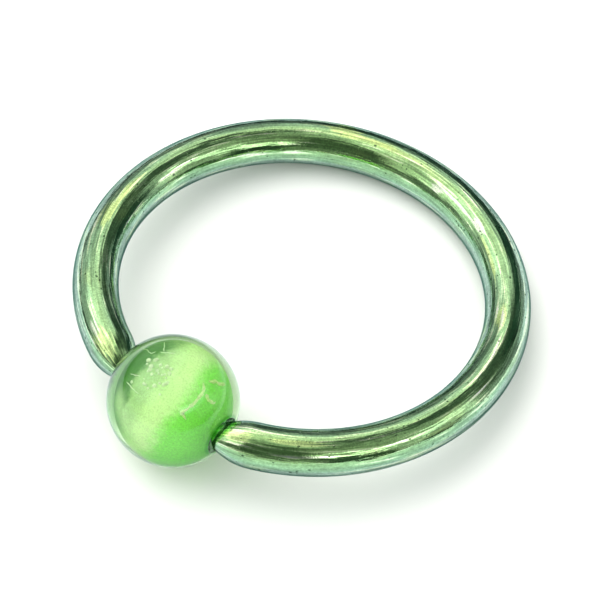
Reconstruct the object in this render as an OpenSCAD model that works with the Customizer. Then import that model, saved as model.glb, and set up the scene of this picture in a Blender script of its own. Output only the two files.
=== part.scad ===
// A captive bead ring for a piercing: an open ring of round wire, sprung onto a glass ball.
// The ball is clear outside, with a core of fibre glass that shows a cat's-eye.
// It lies on its side as it rests by itself, on the ball and on the wire opposite the ball.

/* [Wire ring] */
// Diameter of the round wire
wire_d = 1.6; // [1.2:0.1:1.6]
// Clear diameter inside the ring
inner_d = 12.7; // [12:0.1:16]

/* [Wire ends] */
// Length over which each end narrows to the centre of its round tip
taper_len = 0.9; // [0.9:0.1:1.3]
// Diameter of each round tip
tip_d = 1.1; // [1:0.05:1.15]

/* [Bead] */
// Diameter of the glass ball
bead_d = 4.5; // [4:0.1:4.8]
// Depth to which a tip reaches into the ball
tip_depth = 0.4; // [0.3:0.05:0.45]
// Radius of the round hollow that is ground for each tip
dimple_r = 0.8; // [0.8:0.05:1]
// Clearance between a tip and the bottom of its hollow
seat_gap = 0.08; // [0.06:0.01:0.1]
// Diameter of the fibre glass core inside the ball
core_d = 2.8; // [2:0.1:2.8]

/* [Hidden] */
$fn = 96;

wire_r = wire_d / 2;
tip_r = tip_d / 2;
bead_r = bead_d / 2;
core_r = core_d / 2;
// Radius of the wire's centre line
ring_r = (inner_d + wire_d) / 2;

// The wire's ends run straight for the length of the taper, so that their tips lie this far
// from the ring's centre, and this far to each side of the ball's centre
tip_reach = norm([ring_r, taper_len]);
tip_side = bead_r - tip_depth + tip_r;
tip_lead = atan2(taper_len, ring_r);
bead_angle = asin(tip_side / tip_reach);
// Angle at the ring's centre from the ball to where the wire starts to narrow
end_angle = bead_angle + tip_lead;
// Distance from the ring's centre to the ball's
bead_reach = tip_reach * cos(bead_angle);

// Each half of the hoop is drawn this many degrees past the middle and cut off there
past_middle = 2;

// The taper is an arc that runs tangent to the wire's side and to its round tip
taper_r = (pow(taper_len, 2) + pow(wire_r, 2) - pow(tip_r, 2)) / (wire_d - tip_d);
// Height along the taper at which the arc passes into the round tip
taper_top = taper_len * taper_r / (taper_r - tip_r);

// Distance from the ball's centre to the centre of each round hollow
dimple_y = bead_r - tip_depth - seat_gap + dimple_r;

// At rest the ring leans by this angle from the ball down to the wire opposite it
rest_tilt = asin((bead_r - wire_r) / (ring_r + bead_reach));
// Place of the ring's centre, with the origin below the middle of the outline
ring_y = ((bead_reach - ring_r) * cos(rest_tilt) + bead_r - wire_r) / 2;
ring_z = wire_r + ring_r * sin(rest_tilt);

// Lays what is drawn flat, with the ball toward -Y, down in the pose of rest
module at_rest() {
    translate([0, ring_y, ring_z]) rotate([-rest_tilt, 0, 0]) children();
}

// Half section of a wire end, with its axis upright
module end_profile() {
    intersection() {
        translate([wire_r - taper_r, 0]) circle(r = taper_r);
        square([wire_r, taper_top]);
    }
    intersection() {
        translate([0, taper_len]) circle(r = tip_r);
        translate([0, taper_top]) square(tip_d);
    }
}

// The +X half of the hoop, from the middle of its far side to its tip at the ball
module half_wire() {
    intersection() {
        rotate([0, 0, end_angle - 90]) {
            rotate_extrude(angle = 180 + past_middle - end_angle)
                translate([ring_r, 0]) circle(r = wire_r);
            translate([ring_r, 0, 0]) rotate([90, 0, 0]) rotate_extrude() end_profile();
        }
        translate([ring_r, 0, 0]) cube([2 * ring_r, 3 * ring_r, 2 * wire_d], center = true);
    }
}

// Open hoop of round wire with both its ends
module wire_ring() {
    color("olivedrab") at_rest() {
        half_wire();
        mirror([1, 0, 0]) half_wire();
    }
}

// Half section of the ball, with the line through its two hollows upright
module bead_profile() {
    difference() {
        circle(r = bead_r);
        translate([-bead_r, 0]) square(bead_d, center = true);
        for (side = [-1, 1]) translate([0, side * dimple_y]) circle(r = dimple_r);
    }
}

// Puts what is drawn about the origin, with the line through the hollows upright, at the ball
module in_ball() {
    at_rest() translate([0, -bead_reach, 0]) rotate([0, 90, 0]) children();
}

// Clear glass ball, closed around its core, with a hollow on either side for the wire's tips
module bead() {
    color("palegreen") in_ball() difference() {
        rotate_extrude() bead_profile();
        sphere(r = core_r);
    }
}

// Green fibre glass core, fused into the clear glass all round
module core() {
    color("yellowgreen") in_ball() sphere(r = core_r);
}

wire_ring();
bead();
core();
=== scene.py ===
"""Looks of a captive bead ring for a piercing: an anodised wire hoop on a cat's-eye glass ball.

Lengths are in metres. The hoop is drawn flat, with the ball toward -Y, and then leaned into the
pose of rest.
"""

from functools import partial
from math import asin, atan2, cos, hypot, pi, radians, sin, sqrt

import bmesh
import bpy
from bpy.props import FloatProperty, FloatVectorProperty, IntProperty, PointerProperty
from mathutils import Matrix, Vector


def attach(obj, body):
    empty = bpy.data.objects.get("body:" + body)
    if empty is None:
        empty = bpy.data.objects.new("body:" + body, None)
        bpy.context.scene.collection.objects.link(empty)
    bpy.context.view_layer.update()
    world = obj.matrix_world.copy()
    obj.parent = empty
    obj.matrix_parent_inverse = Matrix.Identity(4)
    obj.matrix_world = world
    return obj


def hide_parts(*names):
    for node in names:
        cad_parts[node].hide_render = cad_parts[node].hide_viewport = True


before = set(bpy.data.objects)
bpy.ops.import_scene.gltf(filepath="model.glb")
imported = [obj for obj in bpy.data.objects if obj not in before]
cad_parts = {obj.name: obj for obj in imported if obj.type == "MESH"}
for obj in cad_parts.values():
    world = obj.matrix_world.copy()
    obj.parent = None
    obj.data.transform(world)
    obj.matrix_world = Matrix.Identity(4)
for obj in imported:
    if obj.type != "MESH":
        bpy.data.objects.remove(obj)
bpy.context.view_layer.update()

bl_info = {
    "name": "Captive Bead Ring",
    "version": (1, 0, 0),
    "blender": (4, 5, 0),
    "location": "3D View > Sidebar > Ring",
    "description": "Makes an anodised captive bead ring with a cat's-eye glass ball",
    "category": "Add Mesh",
}

MM = 0.001
MICRON = 1e-6
# The finished surfaces lie this far inside the true ones, so that they keep to the construction's box
INSET = 2 * MICRON

# Across, up and toward the eye, for whoever looks at the ball at rest through the camera
LEVEL = Vector((0.779, 0.627, 0.0))
RISING = Vector((-0.504, 0.626, 0.595))
NEAR = LEVEL.cross(RISING)
# Along the fibres to the side of painted glow, to the two ends of the eye's painted sheen, and to the
# top of the outline's painted dark reflection
FIBRES = 0.817 * LEVEL - 0.577 * RISING
EYE_ENDS = 0.26 * LEVEL + 0.97 * RISING
DARK_TOP = 0.87 * RISING - 0.5 * LEVEL
# To the side of the core with painted shade, to its left edge with painted light, and to the middle of
# the bubbles
PAINTED_SHADE_SIDE = -0.65 * LEVEL + 0.47 * RISING - 0.60 * NEAR
PAINTED_LIGHT_EDGE = -0.996 * LEVEL - 0.087 * RISING
BUBBLES = -0.27 * LEVEL + 0.45 * RISING + 0.85 * NEAR

# The core's width along LEVEL, RISING and NEAR, and how far it is off the middle along the first
# two, as shares of its radius
CORE_SHAPE = (0.94, 1.02, 1.0)
CORE_OFF = (0.005, -0.045)
# Bubbles between two depths, and the depths of lint and scratches, as shares of the ball's radius
BUBBLE_DEPTHS = (0.76, 0.88)
LINT_DEPTH, SCRATCH_DEPTH = 0.94, 0.93
BUBBLE_COUNT, BUBBLE_SPREAD, BUBBLE_SEED = 30, 0.29, 4
# Length of a step along lint and scratches, and how far they waver
MARK_STEP, MARK_WAVER = 0.02 * MM, 0.08 * MM
# The painted shade in a ground hollow fades over this length to either side of its edge
HOLLOW_BLUR = 0.06 * MM
# How the wire mirrors the floor's colour
FLOOR_IN_MIRROR = (0.83, 0.89, 0.98)

# Steps of the mesh: on each taper and tip of the wire, around the ball and its core, and along
# the core from pole to pole, a hollow, its rim and the outside of the ball up to its middle
TAPER_STEPS = TIP_STEPS = 14
BALL_STEPS = 96
CORE_STEPS, HOLLOW_STEPS, RIM_STEPS, OUTSIDE_STEPS = 64, 20, 8, 40

# Places on the wire laid straight, for thinner oxide with painted golden highlights and then for painted
# white highlights: millimetres along it from the middle of the far side, degrees around it (0 outward,
# 90 up), and half length and half width in millimetres
GOLDEN_HIGHLIGHT_PLACES = (
    (-3.3, 92, 0.85, 0.36), (-2.2, 97, 1.4, 0.17), (-13.8, 82, 0.95, 0.32), (-12.6, 88, 1.7, 0.15),
    (7.7, 108, 0.8, 0.24), (4.6, 128, 1.7, 0.12), (-3.5, 70, 0.5, 0.18), (-3.7, 84, 0.9, 0.22),
    (-19.5, 57, 1.1, 0.42), (19.7, 66, 0.8, 0.28), (17.8, 72, 1.6, 0.14),
)
# Places of painted white highlights
WHITE_HIGHLIGHT_PLACES = (
    (3.2, 117, 0.65, 0.24), (0.7, 132, 0.45, 0.18), (2.0, 124, 1.5, 0.10), (-18.8, 52, 0.5, 0.20),
)

# Lint and scratches just under the ball's surface, as shares of its radius along LEVEL and RISING
FINE_MARKS = (
    ((-0.444, 0.742), (-0.372, 0.727), (-0.315, 0.685), (-0.244, 0.713)),
    ((-0.137, 0.842), (-0.133, 0.785), (-0.130, 0.720)),
    ((-0.187, 0.713), (-0.087, 0.706), (0.027, 0.696)),
    ((-0.601, 0.392), (-0.529, 0.371), (-0.451, 0.364)),
    ((-0.658, 0.271), (-0.586, 0.214), (-0.529, 0.157), (-0.472, 0.114)),
)
BROAD_MARKS = (
    ((0.448, 0.285), (0.462, 0.200), (0.419, 0.107), (0.341, 0.014), (0.241, -0.086),
     (0.155, -0.143), (0.184, -0.185), (0.213, -0.235)),
    ((0.498, 0.128), (0.526, 0.050), (0.605, 0.0), (0.626, 0.029)),
    ((0.526, 0.307), (0.612, 0.314), (0.669, 0.278), (0.755, 0.264)),
)


def length(name, description, millimetres):
    return FloatProperty(
        name=name, description=description, default=millimetres * MM, min=0, precision=5,
        unit="LENGTH", subtype="DISTANCE",
    )


def colour(name, description, rgb):
    return FloatVectorProperty(
        name=name, description=description, default=rgb, size=3, min=0, max=1, subtype="COLOR"
    )


def share(name, description, default):
    return FloatProperty(
        name=name, description=description, default=default, min=0, max=1, subtype="FACTOR"
    )


def amount(name, description, default):
    return FloatProperty(name=name, description=description, default=default, min=0)


class RingSizes(bpy.types.PropertyGroup):
    wire: length("Wire diameter", "Diameter of the round wire", 1.6)
    inside: length("Inner diameter", "Clear diameter inside the ring", 12.7)
    taper: length("Taper length", "Length over which an end narrows to its round tip", 0.9)
    tip: length("Tip diameter", "Diameter of each round tip", 1.1)
    ball: length("Ball diameter", "Diameter of the glass ball", 4.5)
    sunk: length("Tip depth", "Depth to which a tip reaches into the ball", 0.4)
    hollow: length("Hollow radius", "Radius of the round hollow ground for each tip", 0.8)
    play: length("Seat gap", "Clearance between a tip and the bottom of its hollow", 0.08)
    rim: length("Hollow rim", "How far the rim of a hollow is rounded", 0.045)
    core: length("Core diameter", "Diameter of the green fibre core", 2.8)
    bubble: length("Bubble size", "Diameter of the largest bubbles in the clear glass", 0.16)
    fine: length("Fine marks", "Thickness of the lint under the ball's surface", 0.045)
    broad: length("Broad marks", "Thickness of the pale scratches under the surface", 0.13)


class WireFinish(bpy.types.PropertyGroup):
    face: colour("Oxide colour", "Colour that the oxide mirrors face on", (0.37, 0.62, 0.235))
    slant: colour("Slanted colour", "Colour that the oxide mirrors at a slant", (0.34, 0.53, 0.47))
    pale: colour("Outline colour", "Colour that the oxide mirrors along the outline", (0.64, 0.74, 0.63))
    # The thin oxide colour also makes painted golden highlights, and the rubbed metal colour is a
    # painted white highlight
    gold_oxide_and_highlight: colour("Thin oxide", "Colour where the oxide is a little thinner", (0.70, 0.90, 0.36))
    white_highlight: colour("Rubbed metal", "Colour where the oxide is nearly rubbed through", (0.78, 0.86, 0.66))
    edge: colour("Edge tint", "Tint of the mirror at the wire's outline", (0.20, 0.28, 0.25))
    pit: colour("Pits", "Colour in the small pits", (0.03, 0.07, 0.035))
    polish: share("Roughness", "Roughness of the polished wire", 0.07)
    lines: amount("Drawn lines", "Height of the fine lines left by drawing, in micrometres", 5.0)
    hairs: amount("Hairlines", "Height of the finest drawn lines, in micrometres", 2.2)
    strands: amount("Strands", "Height of the short uneven strands, in micrometres", 7.5)
    waves: amount("Waves", "Height of the long uneven waves in the polish, in micrometres", 7.5)


class BallFinish(bpy.types.PropertyGroup):
    # The eye is a painted sheen across the fibres; the bright side is a painted glow where the light
    # comes out, and the deep side is painted shade
    eye_sheen: colour("Eye", "Colour of the pale band across the fibres", (0.66, 0.98, 0.40))
    bright: colour("Bright side", "Colour of the side that the light comes out of", (0.26, 0.87, 0.095))
    deep: colour("Deep side", "Colour of the side where the glass looks deep", (0.085, 0.29, 0.05))
    cloud: colour("Cloud", "Colour of the milky part beside the eye", (0.37, 0.63, 0.24))
    glass: colour("Clear glass", "Tint of the clear glass, seen straight", (0.93, 1.0, 0.90))
    rim: colour("Glass rim", "Tint of the glass at a slant, on the deep side", (0.15, 0.48, 0.09))
    # The bright rim's tint is painted light, and the eye's rim tint is the eye's painted sheen
    rim_lit: colour("Bright rim", "Tint of the glass at a slant, on the bright side", (0.33, 0.70, 0.13))
    rim_sheen: colour("Eye's rim", "Tint of the glass at a slant, at the eye's ends", (0.62, 0.92, 0.42))
    # The dark outline is a painted dark reflection
    dark: colour("Dark outline", "Tint of the glass where its outline is dark", (0.02, 0.07, 0.015))
    # The tint in the ground hollows is painted shade
    ground: colour("Ground hollow", "Tint of the glass in the ground hollows", (0.12, 0.42, 0.09))
    marks: colour("Marks", "Colour of the bubbles and lint in the glass", (0.74, 1.0, 0.55))
    wisps: colour("Scratches", "Colour of the broad pale scratches", (0.66, 1.0, 0.36))


class StageLook(bpy.types.PropertyGroup):
    floor: colour("Floor", "Colour of the plain floor", (0.70, 0.71, 0.70))
    key: amount("Key light", "Strength of the broad soft light from the left", 1.85)
    fill: amount("Fill light", "Strength of the even light from above", 2.7)
    cards: amount("Light cards", "Brightness of the white cards that the wire mirrors", 1.0)
    room: colour("Dim room", "Colour of the dim room between the cards", (0.045, 0.080, 0.058))


def settings():
    return bpy.context.scene.captive_ring


class RingSettings(bpy.types.PropertyGroup):
    sizes: PointerProperty(type=RingSizes)
    wire: PointerProperty(type=WireFinish)
    ball: PointerProperty(type=BallFinish)
    stage: PointerProperty(type=StageLook)
    along: IntProperty(
        name="Steps along", description="Steps along half of the hoop", default=180, min=24
    )
    around: IntProperty(
        name="Steps around", description="Steps around the wire", default=72, min=12
    )


class Layout:
    """Lengths and angles that follow from the sizes, worked out as in the part's source."""

    def __init__(self, s):
        self.wire_r, self.tip_r, self.ball_r = s.wire / 2, s.tip / 2, s.ball / 2
        self.taper = s.taper
        self.ring_r = (s.inside + s.wire) / 2
        reach = hypot(self.ring_r, s.taper)
        side = self.ball_r - s.sunk + self.tip_r
        self.end_angle = asin(side / reach) + atan2(s.taper, self.ring_r)
        self.ball_reach = sqrt(reach ** 2 - side ** 2)
        self.taper_r = (s.taper ** 2 + self.wire_r ** 2 - self.tip_r ** 2) / (s.wire - s.tip)
        self.taper_top = s.taper * self.taper_r / (self.taper_r - self.tip_r)
        self.hollow_x = self.ball_r - s.sunk - s.play + s.hollow
        self.lean = asin((self.ball_r - self.wire_r) / (self.ring_r + self.ball_reach))
        self.ring_y = (
            (self.ball_reach - self.ring_r) * cos(self.lean) + self.ball_r - self.wire_r
        ) / 2
        self.ring_z = self.wire_r + self.ring_r * sin(self.lean)

    def at_rest(self):
        """Carries what is drawn flat into the pose of rest."""
        return Matrix.Translation((0, self.ring_y, self.ring_z)) @ Matrix.Rotation(
            -self.lean, 4, "X"
        )

    def ball_centre(self):
        return self.at_rest() @ Vector((0, -self.ball_reach, 0))


def put(tree, kind, *values, **named):
    """Adds a node. Values fill its inputs in order, or by name with spaces as underscores.

    A value is a number, a colour, a socket or None. A keyword that is a property of the
    node sets that property.
    """
    node = tree.nodes.new(kind)
    inputs = list(enumerate(values))
    for key, value in named.items():
        if key in node.bl_rna.properties:
            setattr(node, key, value)
        else:
            inputs.append((key.replace("_", " "), value))
    for key, value in inputs:
        if isinstance(value, bpy.types.NodeSocket):
            tree.links.new(value, node.inputs[key])
        elif value is not None:
            node.inputs[key].default_value = value
    return node


def maths(tree, operation, a, b=None, c=None, clamp=False):
    return put(
        tree, "ShaderNodeMath", a, b, c, operation=operation, use_clamp=clamp
    ).outputs[0]


def vectors(tree, operation, a, b=None):
    node = put(tree, "ShaderNodeVectorMath", a, b, operation=operation)
    return node.outputs[1 if operation in ("DOT_PRODUCT", "LENGTH") else 0]


def ramp(tree, value, low, high, to_low=0.0, to_high=1.0, smooth=True):
    """Carries value from the range low..high to to_low..to_high, held at both ends."""
    return put(
        tree, "ShaderNodeMapRange", value, low, high, to_low, to_high,
        interpolation_type="SMOOTHSTEP" if smooth else "LINEAR", clamp=True,
    ).outputs[0]


def blend(tree, factor, a, b, kind="MIX"):
    """Mixes two colours."""
    node = tree.nodes.new("ShaderNodeMix")
    node.data_type, node.blend_type = "RGBA", kind
    for key, value in ((0, factor), (6, a), (7, b)):
        if isinstance(value, bpy.types.NodeSocket):
            tree.links.new(value, node.inputs[key])
        else:
            node.inputs[key].default_value = value if key == 0 else (*value[:3], 1)
    return node.outputs[2]


def times(tree, first, *others):
    """Product of some values."""
    for other in others:
        first = maths(tree, "MULTIPLY", first, other)
    return first


def scaled(tree, pattern, low, high):
    """Carries a pattern from the range 0..1 evenly to low..high."""
    return ramp(tree, pattern, 0.0, 1.0, low, high, smooth=False)


def how_far(tree, at, direction):
    """How far a place lies along a direction."""
    return vectors(tree, "DOT_PRODUCT", at, tuple(direction))


def toned(tree, rgb, tone):
    """Makes a colour lighter or darker by a factor."""
    grey = put(tree, "ShaderNodeCombineColor", tone, tone, tone).outputs[0]
    return blend(tree, 1.0, rgb, grey, "MULTIPLY")


def bumped(tree, shader, *layers):
    """Gives a shader its relief, from patterns and their heights in micrometres."""
    height = 0.0
    for pattern, microns in layers:
        height = maths(tree, "MULTIPLY_ADD", pattern, microns * MICRON, height)
    bump = put(tree, "ShaderNodeBump", Strength=1.0, Distance=1.0, Height=height)
    tree.links.new(bump.outputs[0], shader.inputs["Normal"])


def noise(tree, vector, scale, detail=2.0, roughness=0.5, stretch=None):
    """Value between 0 and 1 of a noise whose features are about 1 / scale in size."""
    if stretch:
        vector = vectors(tree, "MULTIPLY", vector, stretch)
    return put(
        tree, "ShaderNodeTexNoise", vector, Scale=scale, Detail=detail, Roughness=roughness
    ).outputs[0]


def material(name):
    m = bpy.data.materials.new(name)
    m.use_nodes = True
    tree = m.node_tree
    return m, tree, next(n for n in tree.nodes if n.type == "BSDF_PRINCIPLED")


def shader_set(shader, **values):
    for key, value in values.items():
        socket = shader.inputs[key.replace("_", " ")]
        socket.default_value = (*value[:3], 1) if socket.type == "RGBA" else value


def grain(tree, vector, scale, detail=2.0, roughness=0.5, stretch=None):
    """A noise that fills the range from 0 to 1."""
    value = noise(tree, vector, scale, detail, roughness, stretch)
    return ramp(tree, value, 0.3, 0.7, smooth=False)


def place_on_wire(tree, at, place, radius):
    """1 in the middle of an oval place on the wire, falling to 0 at its edge."""
    along, around, long, wide = place
    spot = (along * MM, -radius * cos(radians(around)), -radius * sin(radians(around)))
    off = vectors(tree, "SUBTRACT", at, spot)
    off = vectors(tree, "MULTIPLY", off, (1 / (long * MM), 1 / (wide * MM), 1 / (wide * MM)))
    return ramp(tree, vectors(tree, "LENGTH", off), 0.2, 1.0, 1.0, 0.0)


def places(tree, at, spots, radius, ragged):
    """All of some places on the wire, broken up by a ragged pattern."""
    total = 0.0
    for spot in spots:
        total = maths(tree, "ADD", total, place_on_wire(tree, at, spot, radius))
    broken = maths(tree, "ADD", total, maths(tree, "MULTIPLY_ADD", ragged, 1.8, -0.9))
    return ramp(tree, broken, 0.15, 0.75, 0.0, 0.9)


def anodised_wire(w, radius):
    """Polished wire under a green oxide: drawn lines, small pits, thinner oxide with painted golden
    highlights, and painted white highlights in places.

    The vector attribute drawn holds the place along and around the wire as if it lay straight.
    """
    m, tree, shader = material("anodised_wire")
    at = put(tree, "ShaderNodeAttribute", attribute_name="drawn").outputs["Vector"]
    lines = grain(tree, at, 5600, 2, 0.6, (0.07, 1, 1))
    strands = grain(tree, at, 2600, 3, 0.6, (0.16, 1, 1))
    waves = grain(tree, at, 900, 2, 0.5, (0.5, 1, 1))
    hair = grain(tree, at, 12000, 2, 0.5, (0.05, 1, 1))
    mottle = grain(tree, at, 7500, 3, 0.7)
    grains = grain(tree, at, 16000, 3, 0.7)

    # A small pit in each cell of a pattern, and a wider one in about a third of them
    cells = put(
        tree, "ShaderNodeTexVoronoi", vectors(tree, "MULTIPLY", at, (0.7, 1, 1)), Scale=7600,
        feature="F1",
    )
    chance = put(tree, "ShaderNodeSeparateColor", cells.outputs["Color"]).outputs[0]
    width = ramp(tree, chance, 0.66, 1.0, 0.0, 0.27, smooth=False)
    pits = maths(tree, "SUBTRACT", cells.outputs["Distance"], width)
    pits = ramp(tree, pits, -0.06, 0.06, 1.0, 0.0)

    # The oxide changes colour with the slant of the surface, and is pale close to the outline
    face = put(tree, "ShaderNodeLayerWeight", 0.5).outputs["Facing"]
    oxide = blend(tree, ramp(tree, face, 0.0, 0.8, smooth=False), w.face, w.slant)
    outline = times(tree, ramp(tree, face, 0.36, 0.60), ramp(tree, face, 0.62, 0.84, 0.7, 0.0))
    oxide = blend(tree, outline, oxide, w.pale)

    # Thinner oxide with painted golden highlights, at random and in places, and painted white highlights
    # in places, then the tone of the streaks and the colour in the pits
    patches = times(tree, ramp(tree, waves, 0.5, 0.95), ramp(tree, strands, 0.4, 0.9), 0.45)
    oxide = blend(tree, patches, oxide, w.gold_oxide_and_highlight)
    ragged = times(tree, maths(tree, "ADD", lines, hair), 0.5)
    oxide = blend(tree, places(tree, at, GOLDEN_HIGHLIGHT_PLACES, radius, ragged), oxide, w.gold_oxide_and_highlight)
    oxide = blend(tree, places(tree, at, WHITE_HIGHLIGHT_PLACES, radius, ragged), oxide, w.white_highlight)
    oxide = toned(tree, oxide, times(
        tree, scaled(tree, lines, 0.74, 1.18), scaled(tree, hair, 0.70, 1.26),
        scaled(tree, grains, 0.76, 1.22), scaled(tree, mottle, 0.80, 1.18),
    ))
    oxide = blend(tree, times(tree, pits, 0.75), oxide, w.pit)
    tree.links.new(oxide, shader.inputs["Base Color"])

    rough = ramp(tree, grains, 0.0, 1.0, w.polish * 0.7, w.polish * 1.5)
    rough = maths(tree, "ADD", rough, times(tree, pits, 0.2))
    tree.links.new(rough, shader.inputs["Roughness"])
    shader_set(shader, Metallic=1.0, Specular_Tint=w.edge)
    bumped(
        tree, shader, (waves, w.waves), (strands, w.strands), (lines, w.lines), (hair, w.hairs),
        (mottle, 1.1), (grains, 0.5), (pits, -4),
    )
    return m


def clear_glass(b, centre, radius, hollow_r):
    """Clear outer glass of the ball, greener at a slant, with painted light, sheen and a dark reflection
    at its outline, painted shade in its hollows, and faint rubs from wear.
    """
    m, tree, shader = material("clear_glass")
    at = put(tree, "ShaderNodeTexCoord").outputs["Object"]
    at = vectors(tree, "SUBTRACT", at, tuple(centre))
    face = put(tree, "ShaderNodeLayerWeight", 0.5).outputs["Facing"]
    left = how_far(tree, at, -LEVEL / radius)

    # At a slant the tint differs: lighter on the bright side as painted light, darker on the deep side,
    # and pale at the eye's ends as the eye's painted sheen
    ends = maths(tree, "ABSOLUTE", how_far(tree, at, EYE_ENDS / radius))
    ends = times(tree, ramp(tree, ends, 0.45, 0.92), ramp(tree, face, 0.60, 0.72, 1.0, 0.3))
    rim = blend(tree, ramp(tree, left, -0.3, 0.8), b.rim_lit, b.rim)
    rim = blend(tree, ends, rim, b.rim_sheen)
    slanted = times(tree, ramp(tree, face, 0.30, 0.56), ramp(tree, left, -0.3, 0.8, 0.85, 1.0))
    tint = blend(tree, slanted, b.glass, rim)

    # A painted dark reflection along the outline, strong at the top and less so at the left
    high = how_far(tree, at, DARK_TOP / radius)
    top = times(tree, ramp(tree, face, 0.66, 0.76), ramp(tree, high, 0.40, 0.85, 0.0, 0.95))
    side = times(tree, ramp(tree, face, 0.60, 0.72), ramp(tree, left, 0.3, 0.9, 0.0, 0.4))
    for outline in (top, side):
        tint = blend(tree, outline, tint, b.dark)

    # Painted shade in the hollows, which lie close to the line along X and far from the ball's middle
    x, y, z = put(tree, "ShaderNodeSeparateXYZ", at).outputs
    off_axis = vectors(tree, "LENGTH", put(tree, "ShaderNodeCombineXYZ", 0.0, y, z).outputs[0])
    hollow = times(
        tree, ramp(tree, off_axis, hollow_r - HOLLOW_BLUR, hollow_r + HOLLOW_BLUR, 1.0, 0.0),
        ramp(tree, maths(tree, "ABSOLUTE", x), 1.5 * MM, 1.6 * MM),
    )
    tint = blend(tree, hollow, tint, b.ground)
    tree.links.new(tint, shader.inputs["Base Color"])

    rubs = grain(tree, at, 2600, 3, 0.6)
    bumped(tree, shader, (rubs, 0.15), (noise(tree, at, 500, 1), 4))
    tree.links.new(ramp(tree, rubs, 0.4, 1.0, 0.015, 0.07), shader.inputs["Roughness"])
    shader_set(shader, Transmission_Weight=1.0, IOR=1.5)
    return m


def fibre_core(b, centre, radius):
    """Green fibre glass, with the pale eye across its fibres as a painted sheen, and painted light and
    shade on its sides and left edge.
    """
    m, tree, shader = material("fibre_core")
    at = put(tree, "ShaderNodeTexCoord").outputs["Object"]
    at = vectors(tree, "MULTIPLY", vectors(tree, "SUBTRACT", at, tuple(centre)), (1 / radius,) * 3)
    blur = grain(tree, at, 2.1, 2, 0.5)
    fray = grain(tree, at, 10, 3, 0.6)

    def uneven(direction, blurred, frayed):
        """How far a place lies along a direction, give or take, so that borders aren't straight."""
        value = how_far(tree, at, direction)
        value = maths(tree, "ADD", value, scaled(tree, blur, -blurred, blurred))
        return maths(tree, "ADD", value, scaled(tree, fray, -frayed, frayed))

    across_sheen = uneven(FIBRES, 0.08, 0.06)
    # Painted shade on the deep side, painted light along the left edge, the eye's painted sheen, and a
    # painted glow on the bright side
    body = blend(tree, ramp(tree, uneven(PAINTED_SHADE_SIDE, 0.10, 0.05), 0.25, 0.47), b.cloud, b.deep)
    edge = ramp(tree, how_far(tree, at, PAINTED_LIGHT_EDGE), 0.84, 0.98, 0.0, 0.8)
    body = blend(tree, edge, body, b.eye_sheen)
    body = blend(tree, ramp(tree, across_sheen, -0.68, -0.14), body, b.eye_sheen)
    body = blend(tree, ramp(tree, across_sheen, -0.04, 0.40), body, b.bright)
    body = toned(tree, body, scaled(tree, grain(tree, at, 26, 3, 0.7), 0.78, 1.10))
    tree.links.new(body, shader.inputs["Base Color"])
    shader_set(shader, Roughness=0.4, Subsurface_Weight=0.8, Subsurface_Scale=0.5 * MM,
               Subsurface_Radius=(1.0, 1.0, 1.0))
    bumped(tree, shader, (fray, 2))
    return m


def pale_mark(name, rgb):
    """Pale bubbles, lint and scratches in the clear glass, a little uneven in tone."""
    m, tree, shader = material(name)
    at = put(tree, "ShaderNodeTexCoord").outputs["Object"]
    tone = blend(tree, grain(tree, at, 9000, 2), rgb, tuple(0.75 * c for c in rgb))
    tree.links.new(tone, shader.inputs["Base Color"])
    shader_set(shader, Roughness=0.35, Subsurface_Weight=1.0, Subsurface_Scale=0.2 * MM,
               Subsurface_Radius=(1.0, 1.0, 1.0))
    return m


def plain_floor(rgb):
    """Pale floor with a faint mottle, which the wire mirrors a little cooler and dimmer."""
    m, tree, shader = material("plain_floor")
    at = put(tree, "ShaderNodeTexCoord").outputs["Object"]
    mottle = ramp(tree, noise(tree, at, 900, 2), 0.3, 0.7, 0.0, 0.03)
    tone = blend(tree, mottle, rgb, tuple(0.9 * c for c in rgb))
    ray = put(tree, "ShaderNodeLightPath").outputs
    mirrored = maths(tree, "SUBTRACT", ray["Is Glossy Ray"], ray["Is Transmission Ray"], clamp=True)
    tone = blend(tree, mirrored, tone, tuple(k * c for k, c in zip(FLOOR_IN_MIRROR, rgb)))
    tree.links.new(tone, shader.inputs["Base Color"])
    shader_set(shader, Roughness=0.9, Specular_IOR_Level=0.0)
    return m


def link(obj):
    bpy.context.scene.collection.objects.link(obj)
    return obj


def new_tree(name, numbers=(), counts=(), points=(), takes_mesh=False):
    """Empty node tree with named inputs. Returns it with the sockets that carry them."""
    tree = bpy.data.node_groups.new(name, "GeometryNodeTree")
    sockets = tree.interface
    sockets.new_socket("Geometry", in_out="OUTPUT", socket_type="NodeSocketGeometry")
    if takes_mesh:
        sockets.new_socket("Geometry", in_out="INPUT", socket_type="NodeSocketGeometry")
    for names, kind in ((numbers, "Float"), (counts, "Int"), (points, "Vector")):
        for one in names:
            sockets.new_socket(one, in_out="INPUT", socket_type="NodeSocket" + kind)
    return tree, put(tree, "NodeGroupInput").outputs


def finish_tree(tree, geometry, m):
    """Ends a tree with plain smooth geometry of one material."""
    smooth = put(tree, "GeometryNodeSetShadeSmooth", geometry)
    real = put(tree, "GeometryNodeRealizeInstances", smooth.outputs[0])
    finished = put(tree, "GeometryNodeSetMaterial", real.outputs[0], Material=m)
    put(tree, "NodeGroupOutput", finished.outputs[0])
    return tree


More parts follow.
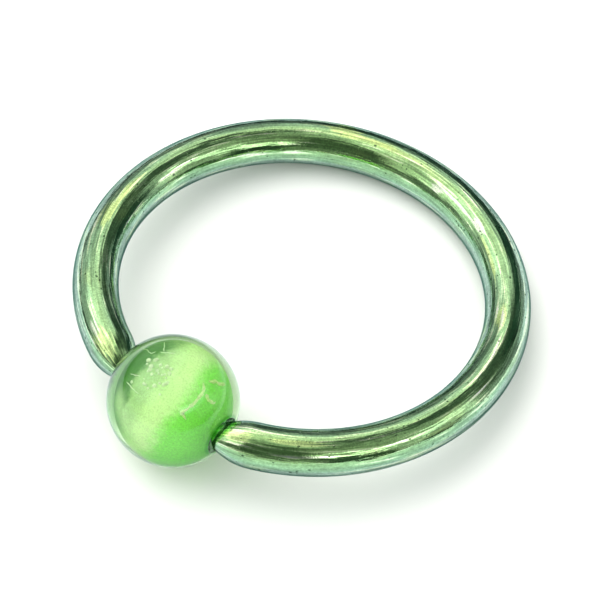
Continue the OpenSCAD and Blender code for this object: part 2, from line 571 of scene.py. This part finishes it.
def hoop_tree(m):
    """Node tree that sweeps a round section along the open hoop and narrows it at both ends."""
    tree, given = new_tree(
        "open_hoop",
        numbers=("Ring radius", "Wire radius", "End angle", "Tip radius", "Taper arc radius",
                 "Taper top", "Tip start"),
        counts=("Steps along", "Steps on a taper", "Steps on a tip", "Steps around"),
        points=("Place", "Turn"),
    )
    m_ = partial(maths, tree)

    half = m_("ADD", m_("ADD", given["Steps along"], given["Steps on a taper"]),
              given["Steps on a tip"])
    count = m_("MULTIPLY_ADD", half, 2, 1)
    line = put(tree, "GeometryNodeCurvePrimitiveLine")
    path = put(tree, "GeometryNodeResampleCurve", line.outputs[0], Count=count)

    # Steps from the middle of the far side, shared out between the arc, the taper and the tip
    step = m_("SUBTRACT", put(tree, "GeometryNodeInputIndex").outputs[0], half)
    side = m_("SIGN", step)
    step = m_("ABSOLUTE", step)
    on_arc = m_("DIVIDE", step, given["Steps along"], clamp=True)
    past = m_("SUBTRACT", step, given["Steps along"])
    on_taper = m_("DIVIDE", past, given["Steps on a taper"], clamp=True)
    past = m_("SUBTRACT", past, given["Steps on a taper"])
    on_tip = m_("DIVIDE", past, given["Steps on a tip"], clamp=True)

    # Angle turned on the arc, and length run beyond it on the taper and the round tip
    whole = m_("SUBTRACT", pi, given["End angle"])
    turn = m_("MULTIPLY", on_arc, whole)
    up = m_("MULTIPLY", on_taper, given["Taper top"])
    start = given["Tip start"]
    bend = m_("MULTIPLY_ADD", on_tip, m_("SUBTRACT", pi / 2, start), start)
    beyond = m_("MULTIPLY", given["Tip radius"],
                m_("SUBTRACT", m_("SINE", bend), m_("SINE", start)))
    run = m_("ADD", up, beyond)
    x = m_("MULTIPLY", side, m_("SUBTRACT", m_("MULTIPLY", given["Ring radius"], m_("SINE", turn)),
                                m_("MULTIPLY", run, m_("COSINE", given["End angle"]))))
    y = m_("SUBTRACT", m_("MULTIPLY", given["Ring radius"], m_("COSINE", turn)),
           m_("MULTIPLY", run, m_("SINE", given["End angle"])))

    # Radius of the wire there, and the length along it from the middle of the far side
    arc = given["Taper arc radius"]
    narrowed = m_("ADD", m_("SUBTRACT", given["Wire radius"], arc),
                  m_("SQRT", m_("SUBTRACT", m_("MULTIPLY", arc, arc), m_("MULTIPLY", up, up))))
    nose = m_("MULTIPLY", given["Tip radius"],
              m_("SUBTRACT", m_("COSINE", bend), m_("COSINE", start)))
    radius = m_("MAXIMUM", m_("ADD", narrowed, nose), 0.0)
    along = m_("MULTIPLY", side, m_("MULTIPLY_ADD", given["Ring radius"], turn, run))

    # The section's own position is kept as an attribute, which the sweep carries around the wire
    hoop = put(tree, "GeometryNodeSetPosition", path.outputs[0],
               Position=put(tree, "ShaderNodeCombineXYZ", x, y, 0.0).outputs[0])
    hoop = put(tree, "GeometryNodeSetCurveNormal", hoop.outputs[0], mode="Z_UP")
    hoop = put(tree, "GeometryNodeStoreNamedAttribute", hoop.outputs[0], Name="along",
               Value=along, data_type="FLOAT", domain="POINT")
    section = put(tree, "GeometryNodeCurvePrimitiveCircle", given["Steps around"], Radius=1.0)
    section = put(tree, "GeometryNodeStoreNamedAttribute", section.outputs[0], Name="spoke",
                  Value=put(tree, "GeometryNodeInputPosition").outputs[0],
                  data_type="FLOAT_VECTOR", domain="POINT")
    swept = put(tree, "GeometryNodeCurveToMesh", hoop.outputs[0], section.outputs[0],
                Scale=radius)
    spoke = put(tree, "ShaderNodeSeparateXYZ", put(
        tree, "GeometryNodeInputNamedAttribute", "spoke", data_type="FLOAT_VECTOR").outputs[0])
    drawn = put(
        tree, "ShaderNodeCombineXYZ",
        put(tree, "GeometryNodeInputNamedAttribute", "along", data_type="FLOAT").outputs[0],
        m_("MULTIPLY", spoke.outputs[0], given["Wire radius"]),
        m_("MULTIPLY", spoke.outputs[1], given["Wire radius"]),
    )
    swept = put(tree, "GeometryNodeStoreNamedAttribute", swept.outputs[0], Name="drawn",
                Value=drawn.outputs[0], data_type="FLOAT_VECTOR", domain="POINT")
    for name in ("along", "spoke"):
        swept = put(tree, "GeometryNodeRemoveAttribute", swept.outputs[0], Name=name)
    closed = put(tree, "GeometryNodeMergeByDistance", swept.outputs[0], Distance=0.1 * MICRON)
    placed = put(tree, "GeometryNodeTransform", closed.outputs[0], Translation=given["Place"],
                 Rotation=given["Turn"])
    return finish_tree(tree, placed.outputs[0], m)


def bubble_tree(m):
    """Node tree that strews small bubbles in a shell of the ball about one direction."""
    tree, given = new_tree(
        "bubbles", numbers=("Radius", "Spread", "Least depth", "Most depth"),
        counts=("Count", "Seed"), points=("Centre", "Toward"),
    )

    def random(low, high, offset, kind="FLOAT"):
        """A random number or vector of its own for each bubble."""
        seed = maths(tree, "ADD", given["Seed"], offset)
        # The node's inputs are two vectors, two numbers, two whole numbers, a share, ID and seed
        limits = (low, high) if kind == "FLOAT_VECTOR" else (None, None, low, high)
        unused = (None,) * (8 - len(limits))
        node = put(tree, "FunctionNodeRandomValue", *limits, *unused, seed, data_type=kind)
        return node.outputs[0 if kind == "FLOAT_VECTOR" else 1]

    scatter = random((-1, -1, -1), (1, 1, 1), 0, "FLOAT_VECTOR")
    spread = put(tree, "ShaderNodeVectorMath", scatter, operation="SCALE",
                 Scale=given["Spread"]).outputs[0]
    way = vectors(tree, "NORMALIZE", vectors(tree, "ADD", given["Toward"], spread))
    out = put(tree, "ShaderNodeVectorMath", way, operation="SCALE",
              Scale=random(given["Least depth"], given["Most depth"], 1)).outputs[0]
    points = put(tree, "GeometryNodePoints", given["Count"],
                 vectors(tree, "ADD", given["Centre"], out))
    ball = put(tree, "GeometryNodeMeshIcoSphere", Radius=given["Radius"], Subdivisions=2)
    strewn = put(tree, "GeometryNodeInstanceOnPoints", points.outputs[0],
                 Instance=ball.outputs[0], Scale=random(0.35, 1.0, 2))
    return finish_tree(tree, strewn.outputs[0], m)


def mark_tree(m):
    """Node tree that lays a thin uneven tube along each of some drawn lines."""
    tree, given = new_tree("marks", numbers=("Radius", "Step", "Waver"), takes_mesh=True)
    curve = put(tree, "GeometryNodeMeshToCurve", given["Geometry"])
    curve = put(tree, "GeometryNodeResampleCurve", curve.outputs[0], Length=given["Step"],
                mode="LENGTH")
    here = put(tree, "GeometryNodeInputPosition").outputs[0]
    off = put(tree, "ShaderNodeTexNoise", here, Scale=6000, Detail=1).outputs["Color"]
    off = put(tree, "ShaderNodeVectorMath", vectors(tree, "SUBTRACT", off, (0.5, 0.5, 0.5)),
              operation="SCALE", Scale=given["Waver"]).outputs[0]
    curve = put(tree, "GeometryNodeSetPosition", curve.outputs[0], Offset=off)
    thin = ramp(tree, noise(tree, here, 9000, 1), 0.35, 0.65, 0.5, 1.0)
    along = put(tree, "GeometryNodeSplineParameter").outputs[0]
    ends = times(tree, ramp(tree, along, 0.0, 0.12, 0.25, 1.0),
                 ramp(tree, along, 0.88, 1.0, 1.0, 0.25))
    ring = put(tree, "GeometryNodeCurvePrimitiveCircle", 10, Radius=given["Radius"])
    tube = put(tree, "GeometryNodeCurveToMesh", curve.outputs[0], ring.outputs[0],
               Scale=times(tree, thin, ends), Fill_Caps=True)
    return finish_tree(tree, tube.outputs[0], m)


def drawn_lines(name, lines, centre, radius, depth):
    """Mesh of edges without faces through the points of some marks, at one depth in the ball."""
    mesh = bpy.data.meshes.new(name)
    points, edges = [], []
    for line in lines:
        for k, (x, y) in enumerate(line):
            if k:
                edges.append((len(points) - 1, len(points)))
            z = sqrt(depth ** 2 - x ** 2 - y ** 2)
            points.append(centre + radius * (x * LEVEL + y * RISING + z * NEAR))
    mesh.from_pydata(points, edges, [])
    return mesh


def grown(name, tree, values, start=None):
    """Runs a node tree with the given inputs and keeps what it makes as a plain mesh."""
    seed = link(bpy.data.objects.new(name + "_tree", start or bpy.data.meshes.new(name + "_tree")))
    modifier = seed.modifiers.new("tree", "NODES")
    modifier.node_group = tree
    for item in tree.interface.items_tree:
        if item.in_out == "INPUT" and item.name in values:
            modifier[item.identifier] = values[item.name]
    bpy.context.view_layer.update()
    graph = bpy.context.evaluated_depsgraph_get()
    mesh = bpy.data.meshes.new_from_object(seed.evaluated_get(graph))
    bpy.data.objects.remove(seed)
    mesh.name = name
    return link(bpy.data.objects.new(name, mesh))


def lathe(name, profile, steps, place, m):
    """Closed body turned about the X axis. The profile is (x, radius) from pole to pole."""
    bm = bmesh.new()
    rings = []
    for x, r in profile:
        if r < 1e-9:
            rings.append([bm.verts.new((x, 0, 0))])
        else:
            rings.append([
                bm.verts.new((x, r * cos(a), r * sin(a)))
                for a in (2 * pi * k / steps for k in range(steps))
            ])
    for one, two in zip(rings, rings[1:]):
        for k in range(steps):
            n = (k + 1) % steps
            corners = [one[k % len(one)], one[n % len(one)], two[n % len(two)], two[k % len(two)]]
            bm.faces.new(list(dict.fromkeys(corners)))
    bmesh.ops.recalc_face_normals(bm, faces=bm.faces)
    bmesh.ops.transform(bm, matrix=place, verts=bm.verts)
    mesh = bpy.data.meshes.new(name)
    bm.to_mesh(mesh)
    bm.free()
    mesh.shade_smooth()
    mesh.materials.append(m)
    return link(bpy.data.objects.new(name, mesh))


def core_place(seat, radius):
    """Carries a plain sphere of radius 1 into the shape and place of the core."""
    wide, high, deep = CORE_SHAPE
    shape = Matrix((LEVEL * wide, RISING * high, NEAR * deep)).transposed() * radius
    off = (CORE_OFF[0] * LEVEL + CORE_OFF[1] * RISING) * radius
    return Matrix.Translation(off) @ seat @ shape.to_4x4()


def ball_profile(s, place):
    """Half outline of the ball, hollow to hollow, with the rims of the hollows rounded."""
    rim_x = (place.ball_r ** 2 + place.hollow_x ** 2 - s.hollow ** 2) / (2 * place.hollow_x)
    rim_r = sqrt(place.ball_r ** 2 - rim_x ** 2)
    last = asin(rim_r / s.hollow) - s.rim / s.hollow
    first = atan2(rim_r, rim_x) + s.rim / place.ball_r
    hollow = [
        (place.hollow_x - s.hollow * cos(a), s.hollow * sin(a))
        for a in (k / HOLLOW_STEPS * last for k in range(HOLLOW_STEPS + 1))
    ]
    outside = [
        (place.ball_r * cos(a), place.ball_r * sin(a))
        for a in (first + (pi / 2 - first) * k / OUTSIDE_STEPS for k in range(OUTSIDE_STEPS + 1))
    ]
    a, b, c = (Vector(p) for p in (hollow[-1], (rim_x, rim_r), outside[0]))
    rounded = [
        tuple((1 - u) ** 2 * a + 2 * u * (1 - u) * b + u ** 2 * c)
        for u in (k / RIM_STEPS for k in range(1, RIM_STEPS))
    ]
    half = hollow + rounded + outside
    half[0] = (half[0][0], 0.0)
    return half + [(-x, r) for x, r in reversed(half[:-1])]


class RING_OT_wire_ring(bpy.types.Operator):
    """Sweeps the open wire hoop and gives it its anodised finish"""

    bl_idname = "ring.wire_ring"
    bl_label = "Wire Ring"

    def execute(self, context):
        c = settings()
        place = Layout(c.sizes)
        hoop = grown("wire", hoop_tree(anodised_wire(c.wire, place.wire_r)), {
            "Ring radius": place.ring_r, "Wire radius": place.wire_r - INSET,
            "End angle": place.end_angle, "Tip radius": place.tip_r,
            "Taper arc radius": place.taper_r, "Taper top": place.taper_top,
            "Tip start": asin((place.taper_top - place.taper) / place.tip_r),
            "Steps along": c.along, "Steps on a taper": TAPER_STEPS,
            "Steps on a tip": TIP_STEPS, "Steps around": c.around,
            "Place": (0, place.ring_y, place.ring_z), "Turn": (-place.lean, 0, 0),
        })
        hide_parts("wire_ring")
        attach(hoop, "ring")
        return {"FINISHED"}


class RING_OT_ball(bpy.types.Operator):
    """Turns the clear glass ball with its hollows, and the green fibre core inside it"""

    bl_idname = "ring.ball"
    bl_label = "Glass Ball"

    def execute(self, context):
        c = settings()
        place = Layout(c.sizes)
        centre = place.ball_centre()
        seat = Matrix.Translation(centre)
        inside = seat @ Matrix.Scale(1 - INSET / place.ball_r, 4)
        glass = clear_glass(c.ball, centre, place.ball_r, c.sizes.hollow)
        shell = lathe("ball", ball_profile(c.sizes, place), BALL_STEPS, inside, glass)
        r = c.sizes.core / 2
        turned = [(cos(a), sin(a)) for a in (pi * k / CORE_STEPS for k in range(CORE_STEPS + 1))]
        turned[0], turned[-1] = (1.0, 0.0), (-1.0, 0.0)
        fibres = fibre_core(c.ball, centre, r)
        core = lathe("fibre_core", turned, BALL_STEPS, core_place(seat, r), fibres)
        for piece, node, slot in (
            (shell, "bead", "clear_glass"), (core, "core", "cats_eye_glass")
        ):
            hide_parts(node)
            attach(piece, "bead")
        return {"FINISHED"}


class RING_OT_marks(bpy.types.Operator):
    """Strews bubbles in the clear glass, and lays lint and pale scratches under its surface"""

    bl_idname = "ring.marks"
    bl_label = "Bubbles and Marks"

    def execute(self, context):
        c = settings()
        place = Layout(c.sizes)
        centre, r = place.ball_centre(), place.ball_r
        pale = pale_mark("bubble", c.ball.marks)
        bubbles = grown("bubbles", bubble_tree(pale), {
            "Radius": c.sizes.bubble / 2, "Spread": BUBBLE_SPREAD,
            "Least depth": BUBBLE_DEPTHS[0] * r, "Most depth": BUBBLE_DEPTHS[1] * r,
            "Count": BUBBLE_COUNT, "Seed": BUBBLE_SEED, "Centre": tuple(centre),
            "Toward": tuple(BUBBLES.normalized()),
        })
        values = {"Step": MARK_STEP, "Waver": MARK_WAVER}
        lint = grown("lint", mark_tree(pale), {**values, "Radius": c.sizes.fine / 2},
                     drawn_lines("lint_lines", FINE_MARKS, centre, r, LINT_DEPTH))
        wisps = grown(
            "scratches", mark_tree(pale_mark("scratch", c.ball.wisps)),
            {**values, "Radius": c.sizes.broad / 2},
            drawn_lines("scratch_lines", BROAD_MARKS, centre, r, SCRATCH_DEPTH),
        )
        for piece in (bubbles, lint, wisps):
            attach(piece, "bead")
        return {"FINISHED"}


FLOOR_RADIUS, FLOOR_STEPS = 1.5, 96

# A black flag stands behind the ring, for the dark line in its mirror: its outline in millimetres
# along X and up, how far behind the middle it stands, and its colour
FLAG_OUTLINE = (
    (-36, 0), (-2, 0), (2, 2), (8, 5.5), (12, 7), (12, 14), (8, 14), (2, 11), (-2, 6.5),
    (-8, 4), (-36, 4),
)
FLAG_BEHIND = 19
FLAG_COLOUR = (0.03, 0.06, 0.05)

PLAIN, WARM, COOL = (1, 1, 1), (1.15, 1.02, 0.75), (1.0, 1.0, 1.08)
# Cards of light that the wire mirrors: azimuth and elevation from and to in degrees, with azimuth
# 0 toward -Y and 90 toward +X, width of the soft edge in degrees, brightness, and tint
LIGHT_CARDS = (
    ((-180, 180), (24, 120), 20, 0.07, PLAIN),
    ((-163, -4), (30, 84), 14, 0.58, PLAIN),
    ((-114, -54), (34, 66), 20, 0.98, PLAIN),
    ((-158, -126), (26, 52), 10, 0.32, PLAIN),
    ((-112, -54), (8, 34), 12, 0.68, PLAIN),
    ((-56, -26), (20, 46), 7, 0.75, PLAIN),
    ((-34, -6), (30, 56), 8, 0.35, PLAIN),
    ((-160, -100), (42, 84), 12, 0.45, WARM),
    ((-146, -110), (6, 30), 10, 0.20, PLAIN),
    ((54, 132), (30, 41), 7, 1.6, COOL),
    ((52, 86), (30, 42), 6, 0.9, COOL),
    ((58, 150), (27, 44), 10, 0.45, COOL),
    ((55, 150), (40, 68), 16, 0.36, PLAIN),
    ((86, 130), (8, 27), 8, 0.55, PLAIN),
    ((116, 128), (10, 24), 6, 0.35, PLAIN),
    ((-180, 180), (76, 110), 12, 0.52, PLAIN),
    ((116, 188), (-6, 19), 8, 0.36, COOL),
    ((-62, 50), (-6, 8), 8, 0.75, PLAIN),
    ((-50, 54), (6, 22), 8, 0.18, PLAIN),
)
# What the camera sees behind the floor
BACKDROP = (0.92, 0.93, 0.91, 1)

# The lamps: width in degrees, and the direction that the light comes from
LAMPS = {"key": (70, (-0.66, -0.12, 0.74)), "fill": (125, (0.0, 0.0, 1.0))}
LAMP_COLOUR = (1.0, 0.995, 0.97)

# The camera's azimuth, elevation and roll in degrees, its place in millimetres, and its lens
CAMERA_TURN = (38.82, 53.47, -1.51)
CAMERA_PLACE = (45.27, -55.84, 98.63)
LENS, SENSOR = 210, 36


def light_card(tree, at, az, el, soft, bright, tint):
    """Light from one card, for a direction given as its azimuth and elevation in at."""
    blur = radians(soft) / 2
    lit = bright
    for value, (low, high), turns in ((at[0], az, True), (at[1], el, False)):
        off = maths(tree, "SUBTRACT", value, radians(low + high) / 2)
        if turns:
            off = maths(tree, "WRAP", off, pi, -pi)
        off = maths(tree, "ABSOLUTE", off)
        half = radians(high - low) / 2
        lit = times(tree, ramp(tree, off, half - blur, half + blur, 1.0, 0.0), lit)
    grey = put(tree, "ShaderNodeCombineXYZ", lit, lit, lit).outputs[0]
    return vectors(tree, "MULTIPLY", grey, tint)


def lay_floor(c):
    """Plain round floor, wide enough to fill the picture."""
    mesh = bpy.data.meshes.new("floor")
    bm = bmesh.new()
    bmesh.ops.create_circle(bm, cap_ends=True, segments=FLOOR_STEPS, radius=FLOOR_RADIUS)
    bm.to_mesh(mesh)
    bm.free()
    mesh.materials.append(plain_floor(c.floor))
    link(bpy.data.objects.new("floor", mesh))


def stand_flag():
    """Black flag that shows only in the wire's mirror."""
    mesh = bpy.data.meshes.new("flag")
    corners = [(x * MM, FLAG_BEHIND * MM, z * MM) for x, z in FLAG_OUTLINE]
    mesh.from_pydata(corners, [], [range(len(corners))])
    black, _, shader = material("black_flag")
    shader_set(shader, Base_Color=FLAG_COLOUR, Roughness=1.0, Specular_IOR_Level=0.0)
    mesh.materials.append(black)
    flag = link(bpy.data.objects.new("flag", mesh))
    for way in ("camera", "diffuse", "transmission", "shadow"):
        setattr(flag, "visible_" + way, False)


def hang_cards(c, scene):
    """World of soft cards in a dim room, with a plain backdrop for the camera."""
    world = bpy.data.worlds.new("studio")
    scene.world = world
    world.use_nodes = True
    tree = world.node_tree
    tree.nodes.clear()
    way = put(tree, "ShaderNodeTexCoord").outputs["Generated"]
    x, y, z = put(tree, "ShaderNodeSeparateXYZ", way).outputs
    azimuth = maths(tree, "ARCTAN2", x, maths(tree, "MULTIPLY", y, -1.0))
    at = azimuth, maths(tree, "ARCSINE", z)
    light = tuple(c.room)
    for az, el, soft, bright, tint in LIGHT_CARDS:
        one = light_card(tree, at, az, el, soft, c.cards * bright, tint)
        light = vectors(tree, "ADD", one, light)
    pale = put(tree, "ShaderNodeBackground", BACKDROP, 1.0)
    lit = put(tree, "ShaderNodeBackground", light, 1.0)
    seen = put(tree, "ShaderNodeLightPath").outputs["Is Camera Ray"]
    both = put(tree, "ShaderNodeMixShader", seen, lit.outputs[0], pale.outputs[0])
    put(tree, "ShaderNodeOutputWorld", both.outputs[0])


def set_lamps(c):
    """Broad soft lamps that light the floor and the ball but don't show in the wire."""
    for name, (spread, toward) in LAMPS.items():
        sun = bpy.data.lights.new(name, "SUN")
        sun.energy, sun.angle, sun.color = getattr(c, name), radians(spread), LAMP_COLOUR
        lamp = link(bpy.data.objects.new(name, sun))
        lamp.rotation_euler = Vector(toward).to_track_quat("Z", "Y").to_euler()
        lamp.visible_glossy = False


def aim_camera(scene):
    """Camera with a long lens, turned and placed as the photo was taken."""
    az, el, roll = (radians(a) for a in CAMERA_TURN)
    back = Vector((sin(az) * cos(el), -cos(az) * cos(el), sin(el)))
    right = Vector((cos(az), sin(az), 0))
    up = back.cross(right)
    across = right * cos(roll) - up * sin(roll)
    lens = bpy.data.cameras.new("camera")
    lens.sensor_width, lens.lens = SENSOR, LENS
    lens.clip_start, lens.clip_end = 0.005, 10
    camera = link(bpy.data.objects.new("camera", lens))
    turn = Matrix((across, back.cross(across), back)).transposed().to_4x4()
    camera.matrix_world = Matrix.Translation(Vector(CAMERA_PLACE) * MM) @ turn
    scene.camera = camera


class RING_OT_stage(bpy.types.Operator):
    """Sets the floor, the soft studio light and the camera"""

    bl_idname = "ring.stage"
    bl_label = "Stage"

    def execute(self, context):
        c = settings().stage
        lay_floor(c)
        stand_flag()
        hang_cards(c, context.scene)
        set_lamps(c)
        aim_camera(context.scene)
        context.scene.view_settings.view_transform = "Standard"
        return {"FINISHED"}


class RING_PT_panel(bpy.types.Panel):
    bl_idname = "RING_PT_panel"
    bl_label = "Captive Bead Ring"
    bl_space_type = "VIEW_3D"
    bl_region_type = "UI"
    bl_category = "Ring"

    def draw(self, context):
        c = settings()
        for label, group in (
            ("Sizes", c.sizes), ("Wire finish", c.wire), ("Ball finish", c.ball), ("Stage", c.stage)
        ):
            box = self.layout.box()
            box.label(text=label)
            for name in group.__annotations__:
                box.prop(group, name)
        self.layout.prop(c, "along")
        self.layout.prop(c, "around")
        for operator in OPERATORS:
            self.layout.operator(operator.bl_idname)


OPERATORS = (RING_OT_wire_ring, RING_OT_ball, RING_OT_marks, RING_OT_stage)
CLASSES = (
    RingSizes, WireFinish, BallFinish, StageLook, RingSettings, *OPERATORS, RING_PT_panel
)


def register():
    for one in CLASSES:
        bpy.utils.register_class(one)
    bpy.types.Scene.captive_ring = PointerProperty(type=RingSettings)


def unregister():
    del bpy.types.Scene.captive_ring
    for one in reversed(CLASSES):
        bpy.utils.unregister_class(one)


def main():
    register()
    for one in ("wire_ring", "ball", "marks", "stage"):
        getattr(bpy.ops.ring, one)()


if __name__ == "__main__":
    main()
